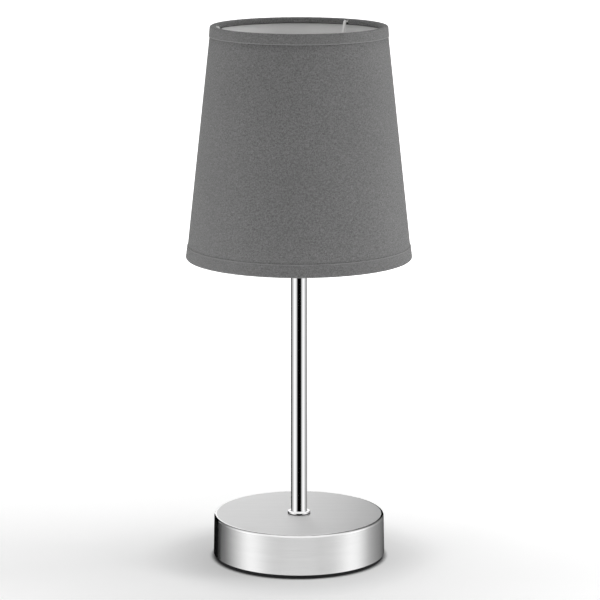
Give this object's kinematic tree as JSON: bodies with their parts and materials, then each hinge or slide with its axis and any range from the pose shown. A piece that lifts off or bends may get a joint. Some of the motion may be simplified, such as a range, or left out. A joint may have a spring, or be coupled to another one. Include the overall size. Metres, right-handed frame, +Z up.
{
  "type": "table lamp",
  "caption": "Small table lamp: weighted disc base, straight stem, tapered fabric shade on a wire fitter over a screw lampholder with an opal bulb.",
  "frame": {"origin": "centre of the underside of the foot pad, on the surface that the lamp stands on", "axes": "+Z up along the stem, -Y towards the front that the picture shows, +Y towards the cord inlet at the rear"},
  "size_m": [0.1394, 0.1394, 0.3328],
  "materials": {
    "foam_pad": "closed-cell foam, matt",
    "satin_steel": "satin brushed top, brighter rolled edge and side",
    "cast_weight": "rough cast",
    "black_plastic": "moulded, matt",
    "chrome_stem": "mirror chrome plate",
    "zinc_steel": "zinc plate",
    "white_plastic": "moulded thermoset, satin",
    "contact_brass": "stamped, bright",
    "white_wire": "white powder coat",
    "pale_liner": "smooth satin film",
    "grey_fabric": "plain linen-look weave, slubby",
    "grey_trim": "same weave, folded band",
    "opal_glass": "opal globe, satin gloss",
    "bulb_aluminium": "rolled, bright"
  },
  "bodies": {
    "base": {"foot_pad": "foam_pad", "base_cover": "satin_steel", "base_weight": "cast_weight", "cable_bush": "black_plastic", "stem_tube": "chrome_stem", "foot_collar": "chrome_stem", "stem_washer": "zinc_steel", "stem_lock_washer": "zinc_steel", "stem_nut": "zinc_steel", "holder_cap": "white_plastic", "cap_lock_screw": "zinc_steel", "holder_body": "white_plastic", "holder_core": "white_plastic", "terminal_screw_left": "contact_brass", "terminal_screw_right": "contact_brass", "screw_shell": "contact_brass", "centre_contact": "contact_brass"},
    "shade": {"fitter_ring": "white_wire", "fitter_arm_rear_right": "white_wire", "fitter_arm_front_right": "white_wire", "fitter_arm_left": "white_wire", "top_ring_wire": "white_wire", "bottom_ring_wire": "white_wire", "shade_liner": "pale_liner", "shade_fabric": "grey_fabric", "top_trim": "grey_trim", "bottom_trim": "grey_trim"},
    "clamp_ring": {"shade_ring": "white_plastic"},
    "bulb": {"bulb_glass": "opal_glass", "bulb_cap": "bulb_aluminium", "bulb_insulator": "black_plastic", "bulb_contact": "contact_brass"}
  },
  "joints": [
    {"name": "shade_lift", "type": "slide", "parent": "base", "child": "shade", "axis": [0, 0, 1], "range_m": [0, 0.09]},
    {"name": "shade_ring_turn", "type": "hinge", "parent": "shade", "child": "clamp_ring", "pos_m": [0, 0, 0.2316], "axis": [0, 0, 1], "continuous": true},
    {"name": "bulb_lift", "type": "slide", "parent": "base", "child": "bulb", "axis": [0, 0, 1], "range_m": [0, 0.225]}
  ],
  "couplings": [
    {"joint": "bulb_lift", "follows": "shade_lift", "ratio": 2.5}
  ]
}
